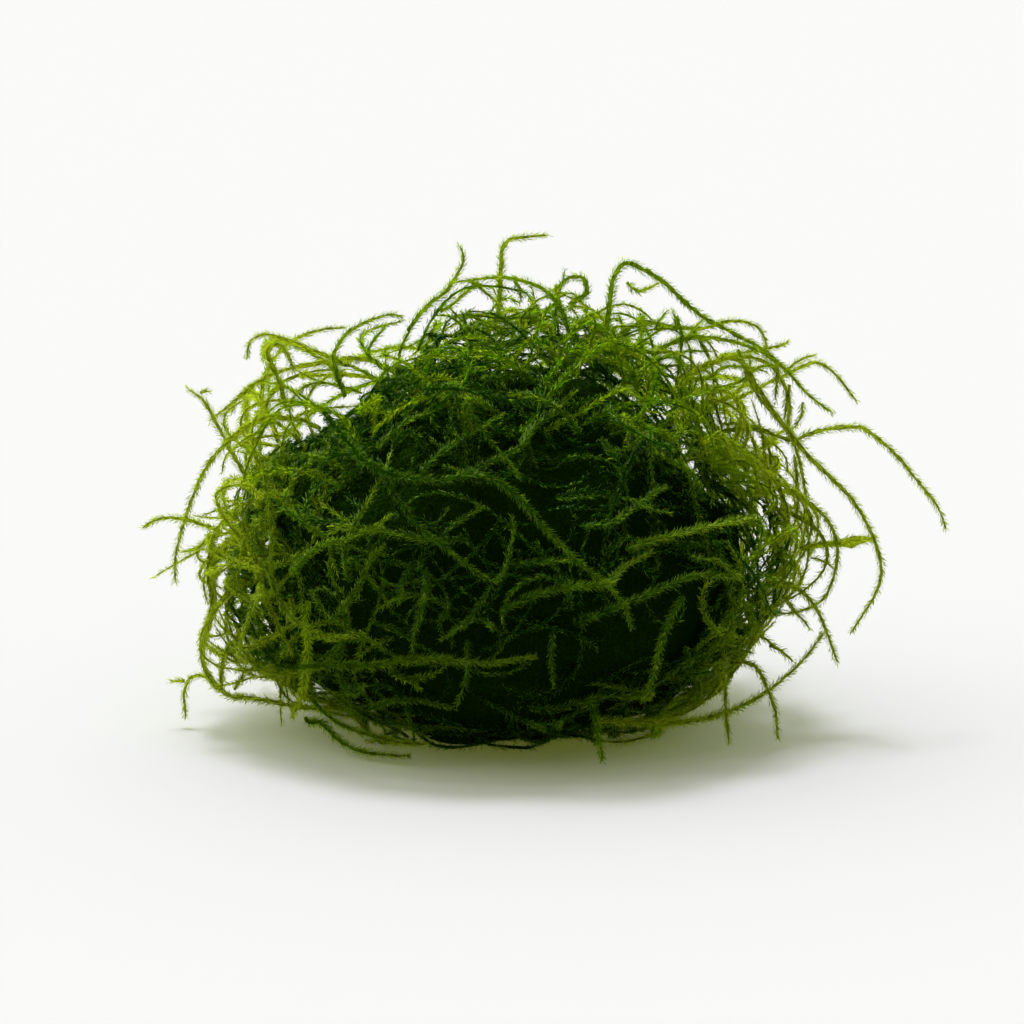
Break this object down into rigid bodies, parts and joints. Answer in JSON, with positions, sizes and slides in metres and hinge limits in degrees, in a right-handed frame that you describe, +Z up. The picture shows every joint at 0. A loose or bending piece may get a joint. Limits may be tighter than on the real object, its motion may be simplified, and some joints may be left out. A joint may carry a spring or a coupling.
{
  "type": "java moss ball",
  "caption": "Loose tangled ball of Java moss with long leafy fronds looping out all round, to rest in an aquarium or on a shelf.",
  "frame": {"origin": "centre of the flat spot that the clump rests on, in the plane of the surface under it", "axes": "+Z up, +X to the right across the clump's widest reach, -Y towards the viewer of the picture"},
  "size_m": [0.1004, 0.0795, 0.0627],
  "materials": {
    "dark_heart": "matted wet moss, near black green, soft sheen",
    "shaded_frond": "leafy moss, dark green, soft sheen",
    "lit_frond": "thin translucent leaves, yellow green",
    "olive_frond": "older leafy moss, olive green"
  },
  "bodies": {
    "root": {"frond_back_1": "olive_frond", "frond_back_2": "olive_frond", "frond_back_3": "olive_frond", "frond_back_4": "olive_frond", "frond_back_5": "olive_frond", "frond_back_6": "olive_frond", "frond_back_left_1": "olive_frond", "frond_back_left_2": "olive_frond", "frond_back_left_3": "olive_frond", "frond_back_left_4": "olive_frond", "frond_back_left_5": "olive_frond", "frond_back_left_6": "olive_frond", "frond_back_right_1": "olive_frond", "frond_back_right_2": "olive_frond", "frond_back_right_3": "olive_frond", "frond_back_right_4": "olive_frond", "frond_back_right_5": "olive_frond", "frond_back_right_6": "olive_frond", "frond_base_long_arc": "shaded_frond", "frond_bottom_stub": "lit_frond", "frond_bright_shoot": "lit_frond", "frond_crown_arch": "lit_frond", "frond_crown_hook": "lit_frond", "frond_crown_loop": "lit_frond", "frond_drooper_inner": "lit_frond", "frond_drooper_outer": "lit_frond", "frond_face_long_sweep": "shaded_frond", "frond_face_low_level": "shaded_frond", "frond_face_middle": "shaded_frond", "frond_face_right_lower": "shaded_frond", "frond_face_right_upper": "shaded_frond", "frond_front_left_floor": "shaded_frond", "frond_front_left_low": "shaded_frond", "frond_left_arch": "lit_frond", "frond_left_bundle": "lit_frond", "frond_left_edge": "lit_frond", "frond_left_hook": "lit_frond", "frond_left_short_twig": "lit_frond", "frond_left_spike": "lit_frond", "frond_left_stalk": "lit_frond", "frond_left_tall_spike": "lit_frond", "frond_left_tall_spike_branch": "lit_frond", "frond_left_twig": "lit_frond", "frond_low_left_arch": "lit_frond", "frond_low_left_long": "lit_frond", "frond_low_right_spur": "lit_frond", "frond_low_right_twig": "lit_frond", "frond_right_bow": "lit_frond", "frond_right_curl": "lit_frond", "frond_right_hanging": "lit_frond", "frond_right_inner_arch": "lit_frond", "frond_right_light_shoot": "lit_frond", "frond_right_long_arch": "lit_frond", "frond_right_loop_twig": "lit_frond", "frond_right_tall_loop": "lit_frond", "frond_right_thick_arch": "lit_frond", "frond_right_top_arch": "lit_frond", "frond_right_twig": "lit_frond", "frond_upper_left_long": "lit_frond", "moss_mass": "dark_heart"}
  },
  "joints": []
}
